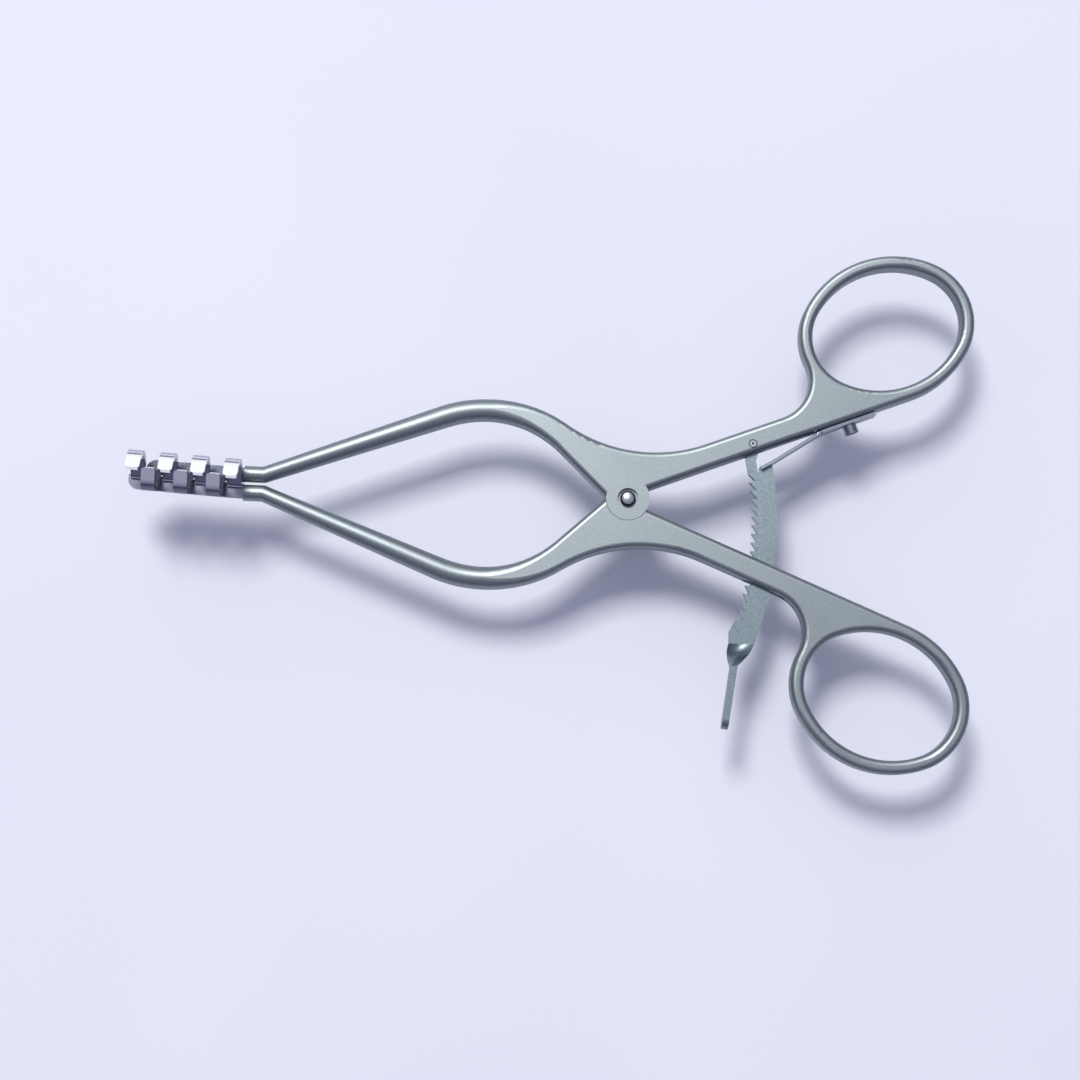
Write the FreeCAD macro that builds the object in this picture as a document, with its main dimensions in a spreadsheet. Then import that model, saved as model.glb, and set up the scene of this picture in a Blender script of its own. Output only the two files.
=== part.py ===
import FreeCAD
import Part
import Sketcher
import math
import os
from FreeCAD import Placement, Rotation, Vector

# Mastoid retractor: two levers on a lap joint, raking blades at the left, rings at the right.
# X runs along the instrument to the rings, Y across it, Z up out of the prongs.
# The origin is on the pivot axis, in the plane of the joint's flat underside.
os.makedirs("parts", exist_ok=True)
doc = FreeCAD.newDocument("MastoidRetractor")
sheet = doc.addObject("Spreadsheet::Sheet", "Sizes")

SIZES = (
    # Lap joint and pivot screw
    ("joint_thickness", 4.2),
    ("lap_radius", 4.0),
    ("lap_clearance", 0.08),
    ("lap_gap", 0.05),
    ("waist_radius", 28.0),
    ("crotch_angle", 43.3),
    ("crotch_distance", 2.7),
    ("pivot_shaft_radius", 1.1),
    ("pivot_head_radius", 1.4),
    ("pivot_head_rise", 0.4),
    ("pivot_recess_radius", 1.9),
    ("pivot_recess_depth", 0.7),
    ("running_fit", 0.04),
    ("seat_fit", 0.01),
    # Bowed arms
    ("arm_end_x", -70.6),
    ("arm_end_y", 1.75),
    ("arm_end_diameter", 3.0),
    ("bow_diameter", 4.2),
    ("bow_apex_x", -26.0),
    ("bow_apex_y", 15.65),
    ("bow_radius", 24.0),
    ("arm_angle", 20.8),
    # Shanks and finger rings
    ("shank_angle", 21.75),
    ("shank_offset", 0.41),
    ("shank_width", 4.5),
    ("ring_distance", 56.15),
    ("ring_hole_length", 28.2),
    ("ring_hole_width", 22.6),
    ("ring_band", 2.5),
    ("ring_end_radius", 12.0),
    ("heel_radius", 7.5),
    ("edge_rounding", 1.0),
    # Toothed ratchet bar on its pin
    ("pin_x", 22.6),
    ("pin_y", 11.2),
    ("pin_radius", 0.75),
    ("bar_thickness", 1.3),
    ("bar_side_gap", 0.06),
    ("bar_eye_radius", 1.5),
    ("bar_arc_radius", 60.0),
    ("bar_arc_x", 22.95),
    ("bar_arc_y", -4.5),
    ("bar_width", 4.6),
    ("tooth_depth", 1.15),
    ("tooth_pitch", 1.6),
    ("tooth_count", 17),
    ("first_tooth_y", 4.2),
    ("shoulder_x", 23.75),
    ("shoulder_y", 6.15),
    ("shoulder_length", 2.9),
    ("shoulder_angle", 29.5),
    ("thumb_length", 11.5),
    ("thumb_height", 3.3),
    ("thumb_thickness", 1.2),
    ("slot_room", 0.2),
    ("slot_depth", 4.2),
    ("slot_flare", 4.2),
    ("window_near_y", 7.5),
    ("window_far_y", 17.5),
    ("window_clearance", 0.45),
    ("window_length", 8.3),
    # Leaf spring and its screw
    ("spring_thickness", 0.55),
    ("spring_height", 3.2),
    ("spring_gap", 0.1),
    ("spring_rise_angle", 34.0),
    ("spring_bend_radius", 12.0),
    ("spring_screw_distance", 43.4),
    ("spring_tail_length", 5.2),
    ("spring_head_radius", 1.3),
    ("spring_head_length", 1.7),
    ("driver_slot_width", 0.5),
    ("spring_shaft_radius", 0.7),
    ("spring_shaft_length", 2.4),
    # Raking blades
    ("spine_thickness", 1.0),
    ("spine_width", 2.7),
    ("spine_parting", 0.3),
    ("prong_pitch", 5.92),
    ("prong_width", 2.65),
    ("prong_clearance", 0.4),
    ("prong_thickness", 1.0),
    ("prong_root_radius", 0.9),
    ("prong_lean", 55.0),
    ("prong_slope_length", 3.1),
    ("prong_bow_radius", 2.0),
    ("prong_tip_length", 2.15),
    ("prong_tip_angle", 20.0),
    ("prong_tip_rounding", 0.55),
    ("tip_level", 6.0),
    ("comb_yaw", 2.5),
    ("comb_margin", 0.6),
    ("first_prong", 1.6),
    ("spine_rounding", 1.8),
    ("tang_length", 3.0),
    ("tang_width", 1.8),
)
for row, (alias, value) in enumerate(SIZES, start=1):
    sheet.set(f"A{row}", alias)
    sheet.set(f"B{row}", str(value))
    sheet.setAlias(f"B{row}", alias)
doc.recompute()


def size(alias):
    """The number that the sheet holds under a name."""
    return float(sheet.get(alias))


MID = size("joint_thickness") / 2
MID_CELL = "Sizes.joint_thickness / 2"
UP = Vector(0, 0, 1)
SLOT_HEIGHT = "Sizes.bar_thickness + 2 * Sizes.bar_side_gap"


def turned(x, y, degrees):
    """The plan point x, y turned about the origin."""
    angle = math.radians(degrees)
    return (x * math.cos(angle) - y * math.sin(angle), x * math.sin(angle) + y * math.cos(angle))


# Helpers for bodies, sketches and their features
def new_body(label):
    """An empty body whose label names the piece."""
    body = doc.addObject("PartDesign::Body", label)
    body.Label = label
    return body


def new_sketch(body, name, origin=(0, 0), x_dir=(1, 0), upright=False, z=MID_CELL):
    """A sketch on the body's XY plane, or standing upright on it along x_dir."""
    sketch = body.newObject("Sketcher::SketchObject", name)
    plane = next(f for f in body.Origin.OriginFeatures if f.Role == "XY_Plane")
    sketch.AttachmentSupport = [(plane, "")]
    sketch.MapMode = "FlatFace"
    along = Vector(x_dir[0], x_dir[1], 0)
    normal = along.cross(UP) if upright else UP
    across = UP if upright else normal.cross(along)
    turn = Rotation(along, across, normal, "ZXY")
    sketch.AttachmentOffset = Placement(Vector(origin[0], origin[1], 0), turn)
    sketch.setExpression("AttachmentOffset.Base.z", z)
    return sketch


def add_lines(sketch, points, closed=True):
    """Straight edges from point to point."""
    corners = [Vector(x, y, 0) for x, y in points]
    ends = corners[1:] + corners[:1] if closed else corners[1:]
    for first, second in zip(corners, ends):
        sketch.addGeometry(Part.LineSegment(first, second), False)


def add_circle(sketch, radius_cell, x=0.0, y=0.0):
    """A circle whose radius follows an expression."""
    index = sketch.addGeometry(Part.Circle(Vector(x, y, 0), UP, 1.0), False)
    constraint = sketch.addConstraint(Sketcher.Constraint("Radius", index, 1.0))
    sketch.setExpression(f"Constraints[{constraint}]", radius_cell)


def add_feature(body, kind, name, sketch, length_cell=None, midplane=True, reverse=False):
    """A pad or pocket of a sketch; a pocket without a length goes through everything."""
    feature = body.newObject(f"PartDesign::{kind}", name)
    feature.Profile = sketch
    feature.Midplane = midplane
    feature.Reversed = reverse
    if length_cell is None:
        feature.Type = 1
    else:
        feature.setExpression("Length", length_cell)
    return feature


def cut_checked(body, feature):
    """Recomputes and makes sure that a pocket took something away."""
    before = feature.BaseFeature.Shape.Volume
    doc.recompute()
    if feature.Shape.Volume >= before - 1e-6:
        raise RuntimeError(f"{body.Label}: {feature.Name} cuts nothing")


# The lever's plan: one outline of lines and arcs that run into each other without a corner
def shank_point(distance, offset=0.0):
    """A point beside the shank's straight inner edge, seen from the pivot."""
    return turned(distance, size("shank_offset") + offset, size("shank_angle"))


def heading(degrees):
    """The direction that leans so many degrees from Y towards X."""
    angle = math.radians(degrees)
    return Vector(math.sin(angle), math.cos(angle), 0)


def plan_point(pair):
    return Vector(pair[0], pair[1], 0)


def tangent_centre(circle_centre, circle_radius, offset, radius):
    """Centre of an arc that touches a circle from outside and the shank's outer edge."""
    lean = math.radians(size("shank_angle"))
    along = Vector(math.cos(lean), math.sin(lean), 0)
    across = Vector(-math.sin(lean), math.cos(lean), 0)
    level = size("shank_offset") + offset + radius
    rise = level - circle_centre.dot(across)
    run = math.sqrt((circle_radius + radius) ** 2 - rise**2)
    return circle_centre.dot(along), run, along, across * level


def arc_edge(centre, radius, first, last, side):
    """The shorter arc about a centre from one point to another, mirrored for the lower lever."""
    between = centre + ((first - centre).normalize() + (last - centre).normalize()).normalize() * radius
    return Part.Arc(*(Vector(p.x, side * p.y, 0) for p in (first, between, last)))


def line_edge(first, last, side):
    return Part.LineSegment(*(Vector(p.x, side * p.y, 0) for p in (first, last)))


def bow_centre():
    """Centre of the bow's curve."""
    return Vector(size("bow_apex_x"), size("bow_apex_y") - size("bow_radius"), 0)


def oval_frame():
    """Middle of the finger ring, its axes and the radii of its rim's four arcs."""
    lean = math.radians(size("shank_angle"))
    along = Vector(math.cos(lean), math.sin(lean), 0)
    across = Vector(-math.sin(lean), math.cos(lean), 0)
    long_half = size("ring_hole_length") / 2 + size("ring_band")
    short_half = size("ring_hole_width") / 2 + size("ring_band")
    middle = plan_point(shank_point(size("ring_distance"), short_half))
    end = size("ring_end_radius")
    reach = long_half - end
    flank = (reach**2 + short_half**2 - end**2) / (2 * (short_half - end))
    return middle, along, across, reach, end, flank, flank - short_half


def oval_arcs(inset, side):
    """The ring's four arcs, set in from its rim, as centre, radius, first and last point."""
    middle, along, across, reach, end, flank, drop = oval_frame()
    arcs = []
    for way in (1, -1):
        cap = middle + along * (reach * way)
        crown = middle - across * (drop * way)
        left = middle - along * (reach * way)
        joint = (cap - crown).normalize()
        other = (left - crown).normalize()
        arcs.append((crown, flank - inset, crown + other * (flank - inset), crown + joint * (flank - inset)))
        below = (cap - (middle + across * (drop * way))).normalize()
        arcs.append((cap, end - inset, crown + joint * (flank - inset), cap + below * (end - inset)))
    return arcs


def lever_plate(label, side):
    """Waist, shank and finger ring: one plate from the bow's apex on, all its edges rounded."""
    body = new_body(f"{label}_plate")
    plan = new_sketch(body, f"{label}_plan")
    half = size("bow_diameter") / 2
    bow, radius = bow_centre(), size("bow_radius")
    inner_start = bow + Vector(0, radius - half, 0)
    outer_start = bow + Vector(0, radius + half, 0)
    # The outer edge: bow, waist, shank and the heel below the ring
    waist = size("waist_radius")
    base, run, along, level = tangent_centre(bow, radius + half, size("shank_width"), waist)
    waist_centre = along * (base + run) + level
    waist_start = bow + (waist_centre - bow).normalize() * (radius + half)
    across = level.normalize()
    waist_end = waist_centre - across * waist
    middle, _, _, reach, end, flank, drop = oval_frame()
    cap = middle - along * reach
    heel = size("heel_radius")
    base, run, along, level = tangent_centre(cap, end, size("shank_width"), heel)
    heel_centre = along * (base - run) + level
    heel_start = heel_centre - across * heel
    heel_end = cap + (heel_centre - cap).normalize() * end
    # The inner edge: a tighter arc out of the bow, then straight to the pivot
    slope = heading(size("crotch_angle"))
    distance = -size("crotch_distance") - bow.dot(slope)
    share = slope.y
    tight = (distance - (radius - half) * share) / (1 - share)
    tight_centre = bow + Vector(0, radius - half - tight, 0)
    crotch_start = tight_centre + slope * tight
    ground = Vector(-slope.y, slope.x, 0)
    # Both inner edges meet under the lap disc
    reach_back = (size("shank_offset") - crotch_start.dot(across)) / ground.dot(across)
    corner = crotch_start + ground * reach_back
    top, right, bottom, left = oval_arcs(0, side)
    foot = plan_point(shank_point(size("ring_distance")))
    edges = [
        line_edge(inner_start, outer_start, side),
        arc_edge(bow, radius + half, outer_start, waist_start, side),
        arc_edge(waist_centre, waist, waist_start, waist_end, side),
        line_edge(waist_end, heel_start, side),
        arc_edge(heel_centre, heel, heel_start, heel_end, side),
        arc_edge(cap, end, heel_end, top[2], side),
        arc_edge(*top, side),
        arc_edge(*right, side),
        arc_edge(bottom[0], bottom[1], bottom[2], foot, side),
        line_edge(foot, corner, side),
        line_edge(corner, crotch_start, side),
        arc_edge(tight_centre, tight, crotch_start, inner_start, side),
    ]
    for edge in edges:
        plan.addGeometry(edge, False)
    for arc in oval_arcs(size("ring_band"), side):
        plan.addGeometry(arc_edge(*arc, side), False)
    add_feature(body, "Pad", f"{label}_pad", plan, "Sizes.joint_thickness")
    doc.recompute()
    return body


def rounded_plate(label, side):
    """The plate with round edges, nearly full round where the bow starts."""
    plate = lever_plate(label, side)
    rounding = doc.addObject("Part::Fillet", f"{label}_rounding")
    rounding.Base = plate
    full = size("bow_diameter") / 2 - 0.05
    edge_radius = size("edge_rounding")
    rims = []
    apex = size("bow_apex_x")
    for number, edge in enumerate(plate.Shape.Edges, start=1):
        box = edge.BoundBox
        ends = [vertex.Point.x for vertex in edge.Vertexes]
        if box.ZLength > 0.01 or max(ends) < apex + 0.01:
            continue
        radii = [full if x < apex + 0.01 else edge_radius for x in ends]
        rims.append((number, radii[0], radii[-1]))
    rounding.Edges = rims
    doc.recompute()
    return rounding


def add_arm(body, side):
    """The round arm: the bow, the straight tapering to its end and the short end along X."""
    bow, radius = bow_centre(), size("bow_radius")
    lean = math.radians(size("arm_angle"))
    start = bow + heading(-size("arm_angle")) * radius
    drop = (start.y - size("arm_end_y")) / math.tan(lean)
    bend = Vector(start.x - drop, size("arm_end_y"), 0)
    curve = new_sketch(body, f"{body.Name}_bow_plan", (bow.x, side * bow.y), (0, side), True)
    add_circle(curve, "Sizes.bow_diameter / 2", radius, 0)
    turn = body.newObject("PartDesign::Revolution", f"{body.Name}_bow")
    turn.Profile = curve
    turn.ReferenceAxis = (curve, ["V_Axis"])
    turn.Reversed = side < 0
    turn.setExpression("Angle", "Sizes.arm_angle")
    doc.recompute()
    end_half, bow_half = size("arm_end_diameter") / 2, size("bow_diameter") / 2
    reach = (start - bend).Length
    along = (math.cos(lean), side * math.sin(lean))
    straight = new_sketch(body, f"{body.Name}_straight_plan", (bend.x, side * bend.y), along)
    add_lines(straight, [(0, end_half), (reach, bow_half), (reach, 0), (-end_half, 0)], closed=False)
    nose = math.sqrt(0.5) * end_half
    straight.addGeometry(Part.Arc(Vector(-end_half, 0, 0), Vector(-nose, nose, 0), Vector(0, end_half, 0)), False)
    add_turned(body, straight, f"{body.Name}_straight")
    end = new_sketch(body, f"{body.Name}_end_plan", (bend.x, side * bend.y))
    stub = size("arm_end_x") - bend.x
    add_lines(end, [(0, 0), (0, end_half), (stub, end_half), (stub, 0)])
    add_turned(body, end, f"{body.Name}_end")


def add_turned(body, sketch, name):
    """A full turn of a profile about its own X axis."""
    feature = body.newObject("PartDesign::Revolution", name)
    feature.Profile = sketch
    feature.ReferenceAxis = (sketch, ["H_Axis"])
    feature.Angle = 360.0
    doc.recompute()
    return feature


def lever_body(label, side):
    """A lever as one piece, before the joint and the ratchet's parts are cut."""
    body = new_body(label)
    body.BaseFeature = rounded_plate(label, side)
    doc.recompute()
    add_arm(body, side)
    return body


def cut_lap(body, side):
    """The half lap: a round recess in one face and the disc left in the other half."""
    level = f"{MID_CELL} + {side} * Sizes.lap_gap / 2"
    recess = new_sketch(body, f"{body.Name}_recess_plan", z=level)
    add_circle(recess, "Sizes.lap_radius + Sizes.lap_clearance")
    cut = add_feature(body, "Pocket", f"{body.Name}_recess", recess, None, False, side < 0)
    cut_checked(body, cut)
    plan = new_sketch(body, f"{body.Name}_disc_plan", z=level)
    add_circle(plan, "Sizes.lap_radius")
    disc = add_feature(body, "Pad", f"{body.Name}_disc", plan, f"{MID_CELL} - Sizes.lap_gap / 2", False, side < 0)
    doc.recompute()
    bore = new_sketch(body, f"{body.Name}_pivot_plan")
    fit = "Sizes.running_fit" if side > 0 else "Sizes.seat_fit"
    add_circle(bore, f"Sizes.pivot_shaft_radius + {fit}")
    cut_checked(body, add_feature(body, "Pocket", f"{body.Name}_pivot_bore", bore))


def cut_tang_seat(body, side):
    """The blind mortise in the arm's end that takes the blade's tang."""
    sketch = new_sketch(body, f"{body.Name}_mortise_plan")
    add_lines(sketch, tang_corners(side, size("seat_fit")))
    length = "Sizes.spine_thickness + 2 * Sizes.seat_fit"
    cut_checked(body, add_feature(body, "Pocket", f"{body.Name}_mortise", sketch, length))


def tang_corners(side, room=0.0):
    """Corners of the blade's tang, or of its mortise with room round it."""
    near, far = size("arm_end_x") - 0.4, size("arm_end_x") + size("tang_length") + room
    low = size("arm_end_y") - size("tang_width") / 2 - room
    high = size("arm_end_y") + size("tang_width") / 2 + room
    return [(near, side * low), (far, side * low), (far, side * high), (near, side * high)]


def upper_lever():
    """The lever whose disc lies on top, with the ratchet's slot and the spring screw's hole."""
    body = lever_body("upper_lever", 1)
    cut_lap(body, 1)
    sink = new_sketch(body, "pivot_sink_plan", z="Sizes.joint_thickness")
    add_circle(sink, "Sizes.pivot_recess_radius")
    cut_checked(body, add_feature(body, "Pocket", "pivot_sink", sink, "Sizes.pivot_recess_depth", False))
    pin_x, pin_y, room = size("pin_x"), size("pin_y"), size("bar_eye_radius") + size("slot_room")
    slot = new_sketch(body, "ratchet_slot_plan")
    left, right = (pin_x - room, pin_y), (pin_x + room, pin_y)
    roof = Part.Arc(Vector(*left, 0), Vector(pin_x, pin_y + room, 0), Vector(*right, 0))
    slot.addGeometry(roof, False)
    # The mouth flares to the rings, the way the bar swings as the jaws open
    mouth_y = pin_y - size("slot_depth")
    mouth = [right, (pin_x + size("slot_flare"), mouth_y), (pin_x - room - size("slot_room"), mouth_y), left]
    add_lines(slot, mouth, closed=False)
    cut_checked(body, add_feature(body, "Pocket", "ratchet_slot", slot, SLOT_HEIGHT))
    bore = new_sketch(body, "ratchet_pin_plan")
    add_circle(bore, "Sizes.pin_radius + Sizes.running_fit", pin_x, pin_y)
    cut_checked(body, add_feature(body, "Pocket", "ratchet_pin_bore", bore))
    thread = new_sketch(body, "spring_hole_plan", shank_point(size("spring_screw_distance")), SHANK, True)
    add_circle(thread, "Sizes.spring_shaft_radius + Sizes.seat_fit")
    cut = add_feature(body, "Pocket", "spring_hole", thread, "Sizes.spring_shaft_length + 0.1", False)
    cut_checked(body, cut)
    cut_tang_seat(body, 1)
    return body


def lower_lever():
    """The lever whose disc lies below, with the window that the ratchet bar runs through."""
    body = lever_body("lower_lever", -1)
    cut_lap(body, -1)
    window = new_sketch(body, "ratchet_window_plan")
    radius, length = size("bar_arc_radius"), size("window_length")
    near, far = -size("window_near_y"), -size("window_far_y")
    near_x = bar_point(radius, bar_angle(near, radius))[0] - size("window_clearance")
    far_x = bar_point(radius, bar_angle(far, radius))[0] - size("window_clearance")
    add_lines(window, [(near_x, near), (far_x, far), (far_x + length, far), (near_x + length, near)])
    cut_checked(body, add_feature(body, "Pocket", "ratchet_window", window, SLOT_HEIGHT))
    cut_tang_seat(body, -1)
    return body


def pivot_screw():
    """The domed screw that holds the lap joint, riveted flush below."""
    body = new_body("pivot_screw")
    sketch = new_sketch(body, "pivot_profile", upright=True, z="0 mm")
    shaft, head = size("pivot_shaft_radius"), size("pivot_head_radius")
    seat = size("joint_thickness") - size("pivot_recess_depth") + 0.03
    top = size("joint_thickness") - 0.1
    crown = size("joint_thickness") + size("pivot_head_rise")
    add_lines(sketch, [(0, crown), (0, 0), (shaft, 0), (shaft, seat), (head, seat), (head, top)], closed=False)
    radius = (head**2 + (crown - top) ** 2) / (2 * (crown - top))
    half = math.asin(head / radius) / 2
    between = Vector(radius * math.sin(half), crown - radius * (1 - math.cos(half)), 0)
    sketch.addGeometry(Part.Arc(Vector(head, top, 0), between, Vector(0, crown, 0)), False)
    turn = body.newObject("PartDesign::Revolution", "pivot_turned")
    turn.Profile = sketch
    turn.ReferenceAxis = (sketch, ["V_Axis"])
    turn.Angle = 360.0
    return body


# The ratchet bar lies along an arc; its teeth face the pivot
def bar_angle(y, radius):
    """The angle on one of the bar's arcs at a height across the instrument."""
    return math.asin((y - size("bar_arc_y")) / radius)


def bar_point(radius, angle):
    """A plan point on an arc about the bar's centre of curvature."""
    centre_x = size("bar_arc_x") - size("bar_arc_radius")
    return (centre_x + radius * math.cos(angle), size("bar_arc_y") + radius * math.sin(angle))


def shoulder_point(along, above=0.0):
    """A point on the sloping shoulder that the leaf spring presses, or above it."""
    x, y = turned(along, above, size("shoulder_angle"))
    return (size("shoulder_x") + x, size("shoulder_y") + y)


def ratchet_bar():
    """The flat toothed bar, its eye at the pin and its twisted end for the thumb."""
    body = new_body("ratchet_bar")
    pin_x, pin_y, eye = size("pin_x"), size("pin_y"), size("bar_eye_radius")
    inner = size("bar_arc_radius")
    outer = inner + size("bar_width")
    root = inner + size("tooth_depth")
    step = size("tooth_pitch") / inner
    first = bar_angle(size("first_tooth_y"), inner)
    points = [(pin_x - eye, pin_y), (pin_x - 1.05, pin_y - 2.9), (pin_x - 0.5, pin_y - 5.5)]
    points.append(bar_point(root, first + 0.08 * step))
    for number in range(int(size("tooth_count"))):
        points.append(bar_point(inner, first - number * step))
        points.append(bar_point(root, first - (number + 0.92) * step))
    last = points.pop()
    tail = (last[0] - 1.9, last[1] - 0.6)
    foot_y = tail[1] - 2.2
    outer_foot = bar_point(outer, bar_angle(foot_y, outer))
    points += [tail, (tail[0], foot_y), outer_foot]
    shoulder = shoulder_point(size("shoulder_length"))
    corner = bar_point(outer, bar_angle(shoulder[1] - 0.3, outer))
    plan = new_sketch(body, "bar_plan")
    add_lines(plan, points, closed=False)
    middle = bar_point(outer, (bar_angle(foot_y, outer) + bar_angle(shoulder[1] - 0.3, outer)) / 2)
    back = Part.Arc(Vector(*outer_foot, 0), Vector(*middle, 0), Vector(*corner, 0))
    plan.addGeometry(back, False)
    neck = (pin_x + 0.75, pin_y - 3.0)
    add_lines(plan, [corner, shoulder, shoulder_point(0), neck, (pin_x + eye, pin_y)], closed=False)
    crown = Part.Arc(Vector(pin_x + eye, pin_y, 0), Vector(pin_x, pin_y + eye, 0), Vector(pin_x - eye, pin_y, 0))
    plan.addGeometry(crown, False)
    add_feature(body, "Pad", "bar_plate", plan, "Sizes.bar_thickness")
    doc.recompute()
    bore = new_sketch(body, "bar_bore_plan")
    add_circle(bore, "Sizes.pin_radius + Sizes.running_fit", pin_x, pin_y)
    cut_checked(body, add_feature(body, "Pocket", "bar_bore", bore))
    add_thumb_lever(body, ((tail[0] + outer_foot[0]) / 2, foot_y), (outer_foot[0] - tail[0]) / 2)
    return body


def add_thumb_lever(body, start, half_width):
    """The quarter twist below the teeth and the upright lever that it ends in."""
    lean = Vector(-0.12, -1.0, 0).normalize()
    twist_length = 4.2
    sections = []
    for number in range(5):
        share = number / 4
        centre = (start[0] - 0.5 * twist_length * share * 0.6, start[1] + 0.05 - twist_length * share)
        wide = half_width + (size("thumb_height") / 2 - half_width) * share
        thin = (size("bar_thickness") + (size("thumb_thickness") - size("bar_thickness")) * share) / 2
        sketch = new_sketch(body, f"twist{number}", centre, (1, 0), True)
        corners = [turned(x, y, 90 * share) for x, y in ((-wide, -thin), (wide, -thin), (wide, thin), (-wide, thin))]
        add_lines(sketch, corners)
        sections.append(sketch)
    loft = body.newObject("PartDesign::AdditiveLoft", "bar_twist")
    loft.Profile = sections[0]
    loft.Sections = sections[1:]
    doc.recompute()
    lever = new_sketch(body, "thumb_plan", centre, (lean.x, lean.y), True)
    half = size("thumb_height") / 2
    length = size("thumb_length")
    add_lines(lever, [(length - half, half), (-0.2, half), (-0.2, -half), (length - half, -half)], closed=False)
    end = Part.Arc(Vector(length - half, -half, 0), Vector(length, 0, 0), Vector(length - half, half, 0))
    lever.addGeometry(end, False)
    add_feature(body, "Pad", "thumb_lever", lever, "Sizes.thumb_thickness")
    doc.recompute()


def ratchet_pin():
    """The pin that the bar swings on, flush in the upper shank."""
    body = new_body("ratchet_pin")
    sketch = new_sketch(body, "pin_plan")
    add_circle(sketch, "Sizes.pin_radius", size("pin_x"), size("pin_y"))
    add_feature(body, "Pad", "pin_pad", sketch, "Sizes.joint_thickness")
    doc.recompute()
    dot = new_sketch(body, "pin_dot_plan", z="Sizes.joint_thickness")
    add_circle(dot, "Sizes.pin_radius / 3", size("pin_x"), size("pin_y"))
    cut_checked(body, add_feature(body, "Pocket", "pin_dot", dot, "Sizes.pin_radius / 4", False))
    return body


def ribbon(sketch, start, heading, moves, thickness):
    """Outline of a strip of even thickness along straights (length, 0) and arcs (radius, turn)."""
    x, y = start
    angle = math.radians(heading)

    def beside(px, py, direction, offset):
        return Vector(px - offset * math.sin(direction), py + offset * math.cos(direction), 0)

    halves = (thickness / 2, -thickness / 2)
    first = [beside(x, y, angle, offset) for offset in halves]
    for reach, turn in moves:
        if turn == 0:
            new_x, new_y = x + reach * math.cos(angle), y + reach * math.sin(angle)
            for offset in halves:
                edge = Part.LineSegment(beside(x, y, angle, offset), beside(new_x, new_y, angle, offset))
                sketch.addGeometry(edge, False)
            x, y = new_x, new_y
            continue
        way = math.copysign(1, turn)
        swing = math.radians(turn)
        centre = beside(x, y, angle, way * reach)
        for offset in halves:
            places = []
            for share in (0, 0.5, 1):
                local = angle + swing * share
                places.append(beside(centre.x, centre.y, local, offset - way * reach))
            sketch.addGeometry(Part.Arc(*places), False)
        x, y = beside(centre.x, centre.y, angle + swing, -way * reach)[:2]
        angle += swing
    last = [beside(x, y, angle, offset) for offset in halves]
    sketch.addGeometry(Part.LineSegment(*first), False)
    sketch.addGeometry(Part.LineSegment(*last), False)


SHANK = (math.cos(math.radians(size("shank_angle"))), math.sin(math.radians(size("shank_angle"))))


def leaf_spring():
    """The strip screwed along the shank, its free end on the bar's shoulder."""
    body = new_body("leaf_spring")
    thick = size("spring_thickness")
    lift = size("spring_gap") + thick / 2
    end_inset = 0.8
    start = shoulder_point(end_inset, lift)
    corner = shoulder_point(size("shoulder_length"), lift)
    # The rising run meets the clamped run where both centre lines cross
    local = turned(corner[0], corner[1], -size("shank_angle"))
    first_bend = size("spring_rise_angle") - size("shoulder_angle")
    last_bend = size("spring_rise_angle") - size("shank_angle")
    rising = (size("shank_offset") - lift - local[1]) / math.sin(math.radians(last_bend))
    meeting = local[0] + rising * math.cos(math.radians(last_bend))
    clamped = size("spring_screw_distance") + size("spring_tail_length") - meeting
    radius = size("spring_bend_radius")
    first_cut = radius * math.tan(math.radians(first_bend) / 2)
    last_cut = radius * math.tan(math.radians(last_bend) / 2)
    moves = [
        (size("shoulder_length") - end_inset - first_cut, 0),
        (radius, first_bend),
        (rising - first_cut - last_cut, 0),
        (radius, -last_bend),
        (clamped - last_cut, 0),
    ]
    plan = new_sketch(body, "spring_plan")
    ribbon(plan, start, size("shoulder_angle"), moves, thick)
    add_feature(body, "Pad", "spring_strip", plan, "Sizes.spring_height")
    doc.recompute()
    hole = new_sketch(body, "spring_bore_plan", shank_point(size("spring_screw_distance"), -lift), SHANK, True)
    add_circle(hole, "Sizes.spring_shaft_radius + Sizes.seat_fit")
    cut_checked(body, add_feature(body, "Pocket", "spring_bore", hole, "Sizes.spring_thickness * 3"))
    return body


def spring_screw():
    """The cylinder-head screw that clamps the spring."""
    body = new_body("spring_screw")
    face = shank_point(size("spring_screw_distance"), -size("spring_gap") - size("spring_thickness") - 0.02)
    head = new_sketch(body, "spring_head_plan", face, SHANK, True)
    add_circle(head, "Sizes.spring_head_radius")
    add_feature(body, "Pad", "spring_head", head, "Sizes.spring_head_length", False)
    shaft = new_sketch(body, "spring_shaft_plan", face, SHANK, True)
    add_circle(shaft, "Sizes.spring_shaft_radius")
    length = "Sizes.spring_shaft_length + Sizes.spring_gap + Sizes.spring_thickness"
    add_feature(body, "Pad", "spring_shaft", shaft, length, False, True)
    doc.recompute()
    end = shank_point(size("spring_screw_distance"), -size("spring_gap") - size("spring_thickness") - 0.02
                      - size("spring_head_length"))
    slot = new_sketch(body, "spring_slot_plan", end, SHANK, True)
    half, radius = size("driver_slot_width") / 2, size("spring_head_radius") * 1.2
    add_lines(slot, [(-radius, -half), (radius, -half), (radius, half), (-radius, half)])
    cut_checked(body, add_feature(body, "Pocket", "spring_slot", slot, "Sizes.spring_head_length / 3", False))
    return body


def comb_point(along, across, side):
    """A plan point on a blade, from its root outwards and from the parting line to its own side."""
    yaw = math.radians(size("comb_yaw"))
    x = size("arm_end_x") - along * math.cos(yaw) + side * across * math.sin(yaw)
    y = along * math.sin(yaw) + side * across * math.cos(yaw)
    return (x, y)


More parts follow.
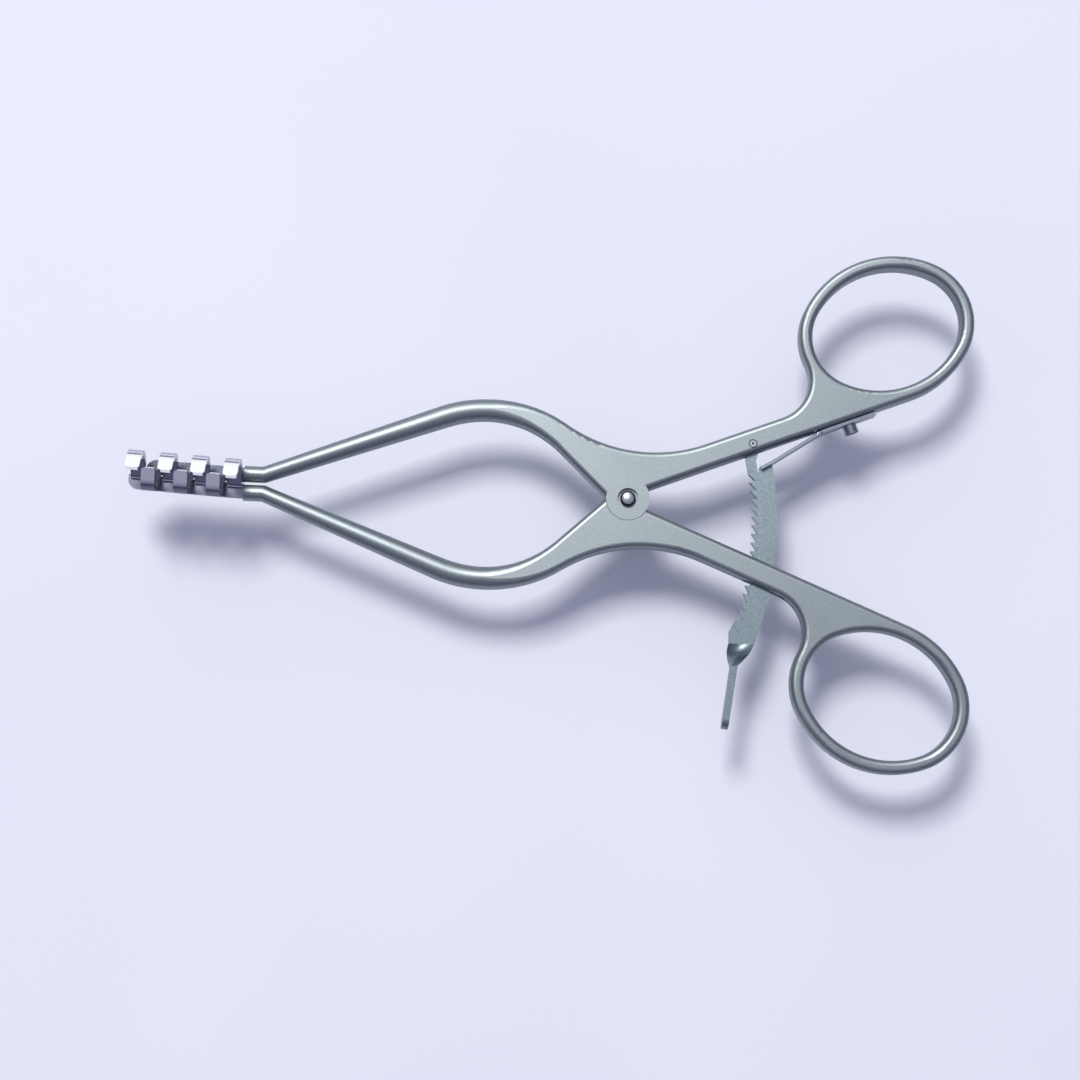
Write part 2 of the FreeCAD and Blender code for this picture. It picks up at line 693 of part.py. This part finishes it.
def blade(label, side, count, first, width, width_cell):
    """A raking blade: a flat spine with a tang and a row of hooked prongs."""
    body = new_body(label)
    length = first + (count - 1) * size("prong_pitch") + width / 2 + size("comb_margin")
    near = size("spine_parting") / 2
    far = near + size("spine_width")
    bend = size("spine_rounding")
    spine = new_sketch(body, f"{label}_spine_plan")
    root = size("arm_end_x")
    round_start = comb_point(length, far - bend, side)
    round_end = comb_point(length - bend, far, side)
    side_cut = bend * (1 - math.sqrt(0.5))
    round_middle = comb_point(length - side_cut, far - side_cut, side)
    add_lines(spine, [round_end, (root, side * far), (root, side * near), comb_point(length, near, side),
                      round_start], closed=False)
    spine.addGeometry(Part.Arc(Vector(*round_start, 0), Vector(*round_middle, 0), Vector(*round_end, 0)), False)
    add_feature(body, "Pad", f"{label}_spine", spine, "Sizes.spine_thickness")
    doc.recompute()
    tang = new_sketch(body, f"{label}_tang_plan")
    corners = tang_corners(side)
    add_lines(tang, [(max(x, root - 0.2), y) for x, y in corners])
    add_feature(body, "Pad", f"{label}_tang", tang, "Sizes.spine_thickness")
    doc.recompute()
    inward = Vector(*comb_point(0, -1, side), 0) - Vector(*comb_point(0, 0, side), 0)
    profile = new_sketch(body, f"{label}_prong_plan", comb_point(first, 0, side), (inward.x, inward.y), True)
    thick = size("prong_thickness")
    moves = [
        (size("spine_thickness") / 2, 0),
        (size("prong_root_radius"), -size("prong_lean")),
        (size("prong_slope_length"), 0),
        (size("prong_bow_radius"), 90.0 + size("prong_lean") - size("prong_tip_angle")),
        (size("prong_tip_length"), 0),
    ]
    ribbon(profile, (-near - thick / 2, 0), 90.0, moves, thick)
    prong = add_feature(body, "Pad", f"{label}_prong", profile, width_cell)
    doc.recompute()
    row = body.newObject("PartDesign::LinearPattern", f"{label}_prongs")
    row.Originals = [prong]
    row.Direction = (profile, ["N_Axis"])
    row.Reversed = side < 0
    row.setExpression("Length", f"Sizes.prong_pitch * {count - 1}")
    row.Occurrences = count
    body.Tip = row
    doc.recompute()
    # Only the short upright edges at the tips are rounded, which are the highest ones on each prong
    tips = []
    for number, edge in enumerate(row.Shape.Edges, start=1):
        if abs(edge.Length - thick) < 0.01 and edge.BoundBox.ZMin > size("tip_level"):
            tips.append(f"Edge{number}")
    rounding = body.newObject("PartDesign::Fillet", f"{label}_tip_rounding")
    rounding.Base = (row, tips)
    rounding.setExpression("Radius", "Sizes.prong_tip_rounding")
    doc.recompute()
    return body


NARROW_PRONG = size("prong_pitch") - size("prong_width") - 2 * size("prong_clearance")
NARROW_CELL = "Sizes.prong_pitch - Sizes.prong_width - 2 * Sizes.prong_clearance"
pieces = [
    upper_lever(),
    lower_lever(),
    pivot_screw(),
    ratchet_pin(),
    ratchet_bar(),
    leaf_spring(),
    spring_screw(),
    blade("four_prong_blade", -1, 4, size("first_prong"), size("prong_width"), "Sizes.prong_width"),
    blade("three_prong_blade", 1, 3, size("first_prong") + size("prong_pitch") / 2, NARROW_PRONG, NARROW_CELL),
]
doc.recompute()
for item in doc.Objects:
    if "Invalid" in item.State or "Error" in item.State:
        raise RuntimeError(f"{item.Label} failed")
for piece in pieces:
    shape = piece.Shape
    if shape.isNull() or not shape.isValid() or len(shape.Solids) != 1:
        raise RuntimeError(f"{piece.Label} is not one valid solid")
    shape.exportStep(f"parts/{piece.Label}.step")
    box = shape.BoundBox
    print(f"{piece.Label}: {shape.Volume:.1f} mm3, z {box.ZMin:.2f} to {box.ZMax:.2f}")
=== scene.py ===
import math

import bmesh
import bpy
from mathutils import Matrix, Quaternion, Vector


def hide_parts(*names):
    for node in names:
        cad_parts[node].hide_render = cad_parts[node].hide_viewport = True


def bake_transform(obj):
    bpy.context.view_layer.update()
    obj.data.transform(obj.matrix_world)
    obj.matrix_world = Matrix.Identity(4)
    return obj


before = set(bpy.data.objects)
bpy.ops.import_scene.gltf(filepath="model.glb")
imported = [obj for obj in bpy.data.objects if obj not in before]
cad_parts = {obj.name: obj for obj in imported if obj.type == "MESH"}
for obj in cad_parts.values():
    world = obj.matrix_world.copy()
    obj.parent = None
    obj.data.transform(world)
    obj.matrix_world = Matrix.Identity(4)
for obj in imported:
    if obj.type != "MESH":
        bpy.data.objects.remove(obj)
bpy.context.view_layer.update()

# The two forged levers: stainless steel, ground to shape, then bead blasted to an even satin.
# Each is one forging from its round bowed arm over the half-lap joint to the finger ring.
# Handling leaves soft clouds in the satin.
mm = 0.001
cloud_size = 1 / 120


def blasted_steel(name, dark, light, grain_size, roughness, dent_depth):
    """Satin metal: fine grains in two shades, soft clouds in the roughness and tiny dents."""
    steel = bpy.data.materials.new(name)
    steel.use_nodes = True
    nodes, links = steel.node_tree.nodes, steel.node_tree.links
    shader = nodes["Principled BSDF"]
    shader.inputs["Metallic"].default_value = 1.0
    place = nodes.new("ShaderNodeTexCoord")
    grains = nodes.new("ShaderNodeTexNoise")
    grains.inputs["Scale"].default_value = 1 / grain_size
    grains.inputs["Detail"].default_value = 3.0
    grains.inputs["Roughness"].default_value = 0.6
    links.new(place.outputs["Object"], grains.inputs["Vector"])
    shades = nodes.new("ShaderNodeValToRGB")
    shades.color_ramp.elements[0].position = 0.32
    shades.color_ramp.elements[0].color = (*dark, 1)
    shades.color_ramp.elements[1].position = 0.68
    shades.color_ramp.elements[1].color = (*light, 1)
    links.new(grains.outputs["Fac"], shades.inputs["Fac"])
    links.new(shades.outputs["Color"], shader.inputs["Base Color"])
    clouds = nodes.new("ShaderNodeTexNoise")
    clouds.inputs["Scale"].default_value = 1 / cloud_size
    clouds.inputs["Detail"].default_value = 2.0
    links.new(place.outputs["Object"], clouds.inputs["Vector"])
    sheen = nodes.new("ShaderNodeMapRange")
    sheen.inputs["From Min"].default_value = 0.3
    sheen.inputs["From Max"].default_value = 0.7
    sheen.inputs["To Min"].default_value = roughness[0]
    sheen.inputs["To Max"].default_value = roughness[1]
    links.new(clouds.outputs["Fac"], sheen.inputs["Value"])
    links.new(sheen.outputs["Result"], shader.inputs["Roughness"])
    dents = nodes.new("ShaderNodeBump")
    dents.inputs["Strength"].default_value = 0.5
    dents.inputs["Distance"].default_value = dent_depth
    links.new(grains.outputs["Fac"], dents.inputs["Height"])
    links.new(dents.outputs["Normal"], shader.inputs["Normal"])
    return steel


def dress(node, finish):
    """Gives a CAD node its finish in every material slot."""
    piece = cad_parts[node]
    for slot in piece.material_slots:
        slot.material = finish
    return piece


lever_steel = blasted_steel(
    "satin_lever_steel", dark=(0.22, 0.255, 0.27), light=(0.33, 0.37, 0.385),
    grain_size=0.22 * mm, roughness=(0.42, 0.50), dent_depth=0.012 * mm)
dress("upper_lever", lever_steel)
dress("lower_lever", lever_steel)

# The raking blades: bent from flat steel, satin on the spines, with their hooked tips polished.
# Each spine's tang is brazed into the end of its lever's arm.
# Above a height the hooked tips are also painted much lighter than the steel: a painted highlight.


def polish_and_paint_highlight_above(steel, level, fade, colour, roughness):
    """Adds polish and a painted highlight, a much lighter colour, to a satin steel above a height,
    over the height fade.
    """
    nodes, links = steel.node_tree.nodes, steel.node_tree.links
    shader = nodes["Principled BSDF"]
    place = nodes.new("ShaderNodeTexCoord")
    parts = nodes.new("ShaderNodeSeparateXYZ")
    links.new(place.outputs["Object"], parts.inputs["Vector"])
    highlight_fade = nodes.new("ShaderNodeMapRange")
    highlight_fade.interpolation_type = "SMOOTHSTEP"
    highlight_fade.inputs["From Min"].default_value = level
    highlight_fade.inputs["From Max"].default_value = level + fade
    links.new(parts.outputs["Z"], highlight_fade.inputs["Value"])
    satin_colour = shader.inputs["Base Color"].links[0].from_socket
    highlight_mix = nodes.new("ShaderNodeMix")
    highlight_mix.data_type = "RGBA"
    links.new(highlight_fade.outputs["Result"], highlight_mix.inputs["Factor"])
    links.new(satin_colour, highlight_mix.inputs["A"])
    # Painted highlight: above the height the satin colour gives way to a much lighter one.
    highlight_mix.inputs["B"].default_value = (*colour, 1)
    links.new(highlight_mix.outputs["Result"], shader.inputs["Base Color"])
    satin_roughness = shader.inputs["Roughness"].links[0].from_socket
    gloss = nodes.new("ShaderNodeMix")
    links.new(highlight_fade.outputs["Result"], gloss.inputs["Factor"])
    links.new(satin_roughness, gloss.inputs["A"])
    gloss.inputs["B"].default_value = roughness
    links.new(gloss.outputs["Result"], shader.inputs["Roughness"])


blade_steel = blasted_steel(
    "blade_steel", dark=(0.26, 0.27, 0.34), light=(0.35, 0.36, 0.44),
    grain_size=0.20 * mm, roughness=(0.18, 0.24), dent_depth=0.006 * mm)
# Painted highlight on the four hooked tips. Their real polish is the lower roughness.
polish_and_paint_highlight_above(blade_steel, level=7.6 * mm, fade=1.2 * mm, colour=(0.82, 0.83, 0.85), roughness=0.14)
dress("four_prong_blade", blade_steel)
# Painted shade: the three-prong blade is the same steel, painted much darker, with a painted
# highlight on its tips.
painted_shade_blade_steel = blasted_steel(
    "painted_shade_blade_steel", dark=(0.10, 0.11, 0.15), light=(0.16, 0.17, 0.22),
    grain_size=0.20 * mm, roughness=(0.22, 0.28), dent_depth=0.006 * mm)
polish_and_paint_highlight_above(painted_shade_blade_steel, level=8.2 * mm, fade=0.9 * mm, colour=(0.80, 0.81, 0.88),
             roughness=0.18)
dress("three_prong_blade", painted_shade_blade_steel)

# The pivot screw and the ratchet pin: turned from bar, so fine rings run round their axes.
# The screw holds the lap joint, its dome in a sunk ring; the pin is ground flush with the shank.


def turned_steel(name, centre, colour, roughness):
    """Bright steel with fine lathe rings round an upright axis through centre."""
    steel = blasted_steel(name, dark=[share * 0.8 for share in colour], light=colour,
                          grain_size=0.15 * mm, roughness=roughness, dent_depth=0.004 * mm)
    nodes, links = steel.node_tree.nodes, steel.node_tree.links
    place = nodes.new("ShaderNodeTexCoord")
    move = nodes.new("ShaderNodeMapping")
    move.inputs["Location"].default_value = (-centre[0], -centre[1], 0)
    links.new(place.outputs["Object"], move.inputs["Vector"])
    rings = nodes.new("ShaderNodeTexWave")
    rings.wave_type = "RINGS"
    rings.rings_direction = "Z"
    rings.inputs["Scale"].default_value = 1500.0
    rings.inputs["Distortion"].default_value = 0.6
    links.new(move.outputs["Vector"], rings.inputs["Vector"])
    grooves = nodes.new("ShaderNodeBump")
    grooves.inputs["Strength"].default_value = 0.25
    grooves.inputs["Distance"].default_value = 0.006 * mm
    links.new(rings.outputs["Fac"], grooves.inputs["Height"])
    shader = nodes["Principled BSDF"]
    links.new(shader.inputs["Normal"].links[0].from_socket, grooves.inputs["Normal"])
    links.new(grooves.outputs["Normal"], shader.inputs["Normal"])
    return steel


def paint_dark_rings(steel, centre, rings):
    """Paints darker rings into the colour round an upright axis: the share of the colour that
    stays at each radius, from the axis out to the last one."""
    reach = rings[-1][0]
    nodes, links = steel.node_tree.nodes, steel.node_tree.links
    shader = nodes["Principled BSDF"]
    place = nodes.new("ShaderNodeTexCoord")
    flat = nodes.new("ShaderNodeVectorMath")
    flat.operation = "MULTIPLY"
    flat.inputs[1].default_value = (1, 1, 0)
    links.new(place.outputs["Object"], flat.inputs[0])
    radius = nodes.new("ShaderNodeVectorMath")
    radius.operation = "DISTANCE"
    radius.inputs[1].default_value = (*centre, 0)
    links.new(flat.outputs["Vector"], radius.inputs[0])
    share = nodes.new("ShaderNodeMapRange")
    share.inputs["From Max"].default_value = reach
    links.new(radius.outputs["Value"], share.inputs["Value"])
    bands = nodes.new("ShaderNodeValToRGB")
    ramp = bands.color_ramp
    for end in (0, -1):
        ramp.elements[end].color = (*[rings[end][1]] * 3, 1)
    for distance, kept in rings[1:-1]:
        ramp.elements.new(distance / reach).color = (*[kept] * 3, 1)
    links.new(share.outputs["Result"], bands.inputs["Fac"])
    ring_darkening = nodes.new("ShaderNodeMix")
    ring_darkening.data_type = "RGBA"
    ring_darkening.blend_type = "MULTIPLY"
    ring_darkening.inputs["Factor"].default_value = 1.0
    links.new(shader.inputs["Base Color"].links[0].from_socket, ring_darkening.inputs["A"])
    links.new(bands.outputs["Color"], ring_darkening.inputs["B"])
    links.new(ring_darkening.outputs["Result"], shader.inputs["Base Color"])


pivot_place = (0, 0)
screw_steel = turned_steel("turned_screw_steel", pivot_place, colour=(0.66, 0.68, 0.70),
                           roughness=(0.32, 0.40))
# Painted reflection: beyond its middle, the screw's dome is painted nearly black for the dark room
# that its steep rim reflects.
paint_dark_rings(screw_steel, pivot_place,
             ((0, 1), (1.02 * mm, 1), (1.14 * mm, 0.08), (1.6 * mm, 0.05)))
dress("pivot_screw", screw_steel)
pin_place = (22.6 * mm, 11.2 * mm)
pin_steel = turned_steel("turned_pin_steel", pin_place, colour=(0.42, 0.47, 0.48),
                         roughness=(0.34, 0.42))
# The pin is painted nearly black at its centre and in a ring round its rim.
paint_dark_rings(pin_steel, pin_place,
             ((0, 0.05), (0.13 * mm, 0.05), (0.20 * mm, 1), (0.58 * mm, 1),
              (0.66 * mm, 0.06), (0.8 * mm, 0.05)))
dress("ratchet_pin", pin_steel)

# The ratchet bar: a flat curved plate of harder steel with milled teeth, tumbled to a coarse matt.
# It swings on its pin in the upper shank and ends in a quarter twist and an upright thumb lever.
bar_steel = blasted_steel(
    "tumbled_bar_steel", dark=(0.17, 0.225, 0.245), light=(0.29, 0.34, 0.37),
    grain_size=0.24 * mm, roughness=(0.36, 0.46), dent_depth=0.016 * mm)
dress("ratchet_bar", bar_steel)

# The leaf spring and its screw: a strip of blue-grey spring steel, clamped flat against the shank.
# It rises off the shank in two bends, and its free end presses the shoulder of the ratchet bar.
# It bends as the bar swings, so the rigid solid gives way to a strip with enough rows to bend.
spring_steel = blasted_steel(
    "spring_steel", dark=(0.24, 0.28, 0.33), light=(0.38, 0.43, 0.48),
    grain_size=0.18 * mm, roughness=(0.28, 0.36), dent_depth=0.006 * mm)
free_end = Vector((24.27, 6.87, 2.10)) * mm
clamp = Vector((35.30, 14.00, 2.10)) * mm
bend_rows = 14
same_place = 0.0001 * mm
sharp_angle = math.radians(30)
strip_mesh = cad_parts["leaf_spring"].data.copy()
strip_mesh.name = "bending_strip"
strip_rows = bmesh.new()
strip_rows.from_mesh(strip_mesh)
bmesh.ops.remove_doubles(strip_rows, verts=strip_rows.verts, dist=same_place)
for row in range(bend_rows + 1):
    place = free_end.lerp(clamp, row / bend_rows)
    everything = strip_rows.verts[:] + strip_rows.edges[:] + strip_rows.faces[:]
    bmesh.ops.bisect_plane(strip_rows, geom=everything, plane_co=place,
                           plane_no=clamp - free_end, dist=same_place)
strip_rows.to_mesh(strip_mesh)
strip_rows.free()
strip_mesh.set_sharp_from_angle(angle=sharp_angle)
strip_mesh.materials.clear()
strip_mesh.materials.append(spring_steel)
strip = bpy.data.objects.new("bending_strip", strip_mesh)
bpy.context.scene.collection.objects.link(strip)
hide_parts("leaf_spring")
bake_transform(strip)
spring_screw_steel = blasted_steel(
    "spring_screw_steel", dark=(0.22, 0.25, 0.29), light=(0.32, 0.36, 0.40),
    grain_size=0.15 * mm, roughness=(0.26, 0.34), dent_depth=0.004 * mm)
dress("spring_screw", spring_screw_steel)

# The table: a pale lavender sheet of paper 11 mm below the instrument, so that the soft shadow
# falls a little away from it. It is the stage and no part of the object.
table_reach, table_level = 12.0, -11.0 * mm
table_corners = [(x * table_reach, y * table_reach, table_level)
                 for x, y in ((-1, -1), (1, -1), (1, 1), (-1, 1))]
table_mesh = bpy.data.meshes.new("table_sheet")
table_mesh.from_pydata(table_corners, [], [(0, 1, 2, 3)])
table = bpy.data.objects.new("table_sheet", table_mesh)
bpy.context.scene.collection.objects.link(table)
paper = bpy.data.materials.new("lavender_paper")
paper.use_nodes = True
paper_nodes, paper_links = paper.node_tree.nodes, paper.node_tree.links
paper_shader = paper_nodes["Principled BSDF"]
paper_shader.inputs["Roughness"].default_value = 0.9
paper_shader.inputs["Specular IOR Level"].default_value = 0.1
paper_place = paper_nodes.new("ShaderNodeTexCoord")
paper_clouds = paper_nodes.new("ShaderNodeTexNoise")
paper_clouds.inputs["Scale"].default_value = 9.0
paper_tones = paper_nodes.new("ShaderNodeValToRGB")
paper_tones.color_ramp.elements[0].position = 0.3
paper_tones.color_ramp.elements[0].color = (0.775, 0.785, 0.88, 1)
paper_tones.color_ramp.elements[1].position = 0.7
paper_tones.color_ramp.elements[1].color = (0.805, 0.815, 0.90, 1)
paper_links.new(paper_place.outputs["Object"], paper_clouds.inputs["Vector"])
paper_links.new(paper_clouds.outputs["Fac"], paper_tones.inputs["Fac"])
paper_links.new(paper_tones.outputs["Color"], paper_shader.inputs["Base Color"])
table_mesh.materials.append(paper)

# The studio: one soft box high on the far side, a window below it, and a room that is grey
# overhead and dark blue over the table, which gives the rounded steel its dark blue edges.
# The near side of the room is dimmer, and at the horizon the room pales towards the table.
room = bpy.data.worlds.new("studio_room")
bpy.context.scene.world = room
room.use_nodes = True
air, air_links = room.node_tree.nodes, room.node_tree.links
gaze = air.new("ShaderNodeTexCoord")
gaze_parts = air.new("ShaderNodeSeparateXYZ")
air_links.new(gaze.outputs["Generated"], gaze_parts.inputs["Vector"])
walls = air.new("ShaderNodeValToRGB")
air_links.new(gaze_parts.outputs["Z"], walls.inputs["Fac"])
walls.color_ramp.elements[0].position = 0.0
walls.color_ramp.elements[0].color = (0.26, 0.27, 0.40, 1)
walls.color_ramp.elements[1].position = 1.0
walls.color_ramp.elements[1].color = (0.46, 0.48, 0.57, 1)
for level, tone in ((0.08, (0.05, 0.055, 0.17)), (0.22, (0.06, 0.07, 0.19)),
                    (0.42, (0.26, 0.27, 0.39)), (0.75, (0.35, 0.36, 0.49))):
    walls.color_ramp.elements.new(level).color = (*tone, 1)
shade_side = air.new("ShaderNodeMapRange")
shade_side.inputs["From Min"].default_value = -0.6
shade_side.inputs["From Max"].default_value = 0.0
shade_side.inputs["To Min"].default_value = 0.85
air_links.new(gaze_parts.outputs["Y"], shade_side.inputs["Value"])
dimmed = air.new("ShaderNodeMix")
dimmed.data_type = "RGBA"
dimmed.blend_type = "MULTIPLY"
dimmed.inputs["Factor"].default_value = 1.0
air_links.new(walls.outputs["Color"], dimmed.inputs["A"])
air_links.new(shade_side.outputs["Result"], dimmed.inputs["B"])
toward_window = air.new("ShaderNodeVectorMath")
toward_window.operation = "DOT_PRODUCT"
toward_window.inputs[1].default_value = Vector((-0.19, 0.76, 0.62)).normalized()
air_links.new(gaze.outputs["Generated"], toward_window.inputs[0])
window_edge = air.new("ShaderNodeMapRange")
window_edge.interpolation_type = "SMOOTHSTEP"
window_edge.inputs["From Min"].default_value = 0.86
window_edge.inputs["From Max"].default_value = 0.96
air_links.new(toward_window.outputs["Value"], window_edge.inputs["Value"])
window_glow = air.new("ShaderNodeMix")
window_glow.data_type = "RGBA"
air_links.new(window_edge.outputs["Result"], window_glow.inputs["Factor"])
air_links.new(dimmed.outputs["Result"], window_glow.inputs["A"])
window_glow.inputs["B"].default_value = (1.08, 1.10, 1.13, 1)
air_links.new(window_glow.outputs["Result"], air["Background"].inputs["Color"])

soft_box_light = bpy.data.lights.new("soft_box", "AREA")
soft_box_light.shape = "SQUARE"
soft_box_light.size = 0.6
soft_box_light.energy = 32.0
soft_box_light.color = (1.0, 0.99, 0.96)
soft_box = bpy.data.objects.new("soft_box", soft_box_light)
soft_box.location = (-0.45, 1.00, 1.80)
soft_box.rotation_mode = "QUATERNION"
soft_box.rotation_quaternion = soft_box.location.to_track_quat("Z", "Y")
bpy.context.scene.collection.objects.link(soft_box)

# The camera: it looks down on the table from a little below the middle of the picture, with a
# lens of 67 mm on a sensor of 36 mm, and is turned by about 9 degrees from straight down.
eye = bpy.data.cameras.new("photo_camera")
eye.sensor_width = 36.0
eye.lens = 66.667
eye.clip_start = 0.01
camera = bpy.data.objects.new("photo_camera", eye)
camera.location = (-14.0 * mm, -61.7 * mm, 365.1 * mm)
turn = Vector((0.1466, 0.00156, 0.0440))
camera.rotation_mode = "QUATERNION"
camera.rotation_quaternion = Quaternion(turn.normalized(), turn.length)
bpy.context.scene.collection.objects.link(camera)
bpy.context.scene.camera = camera
bpy.context.scene.view_settings.view_transform = "Standard"
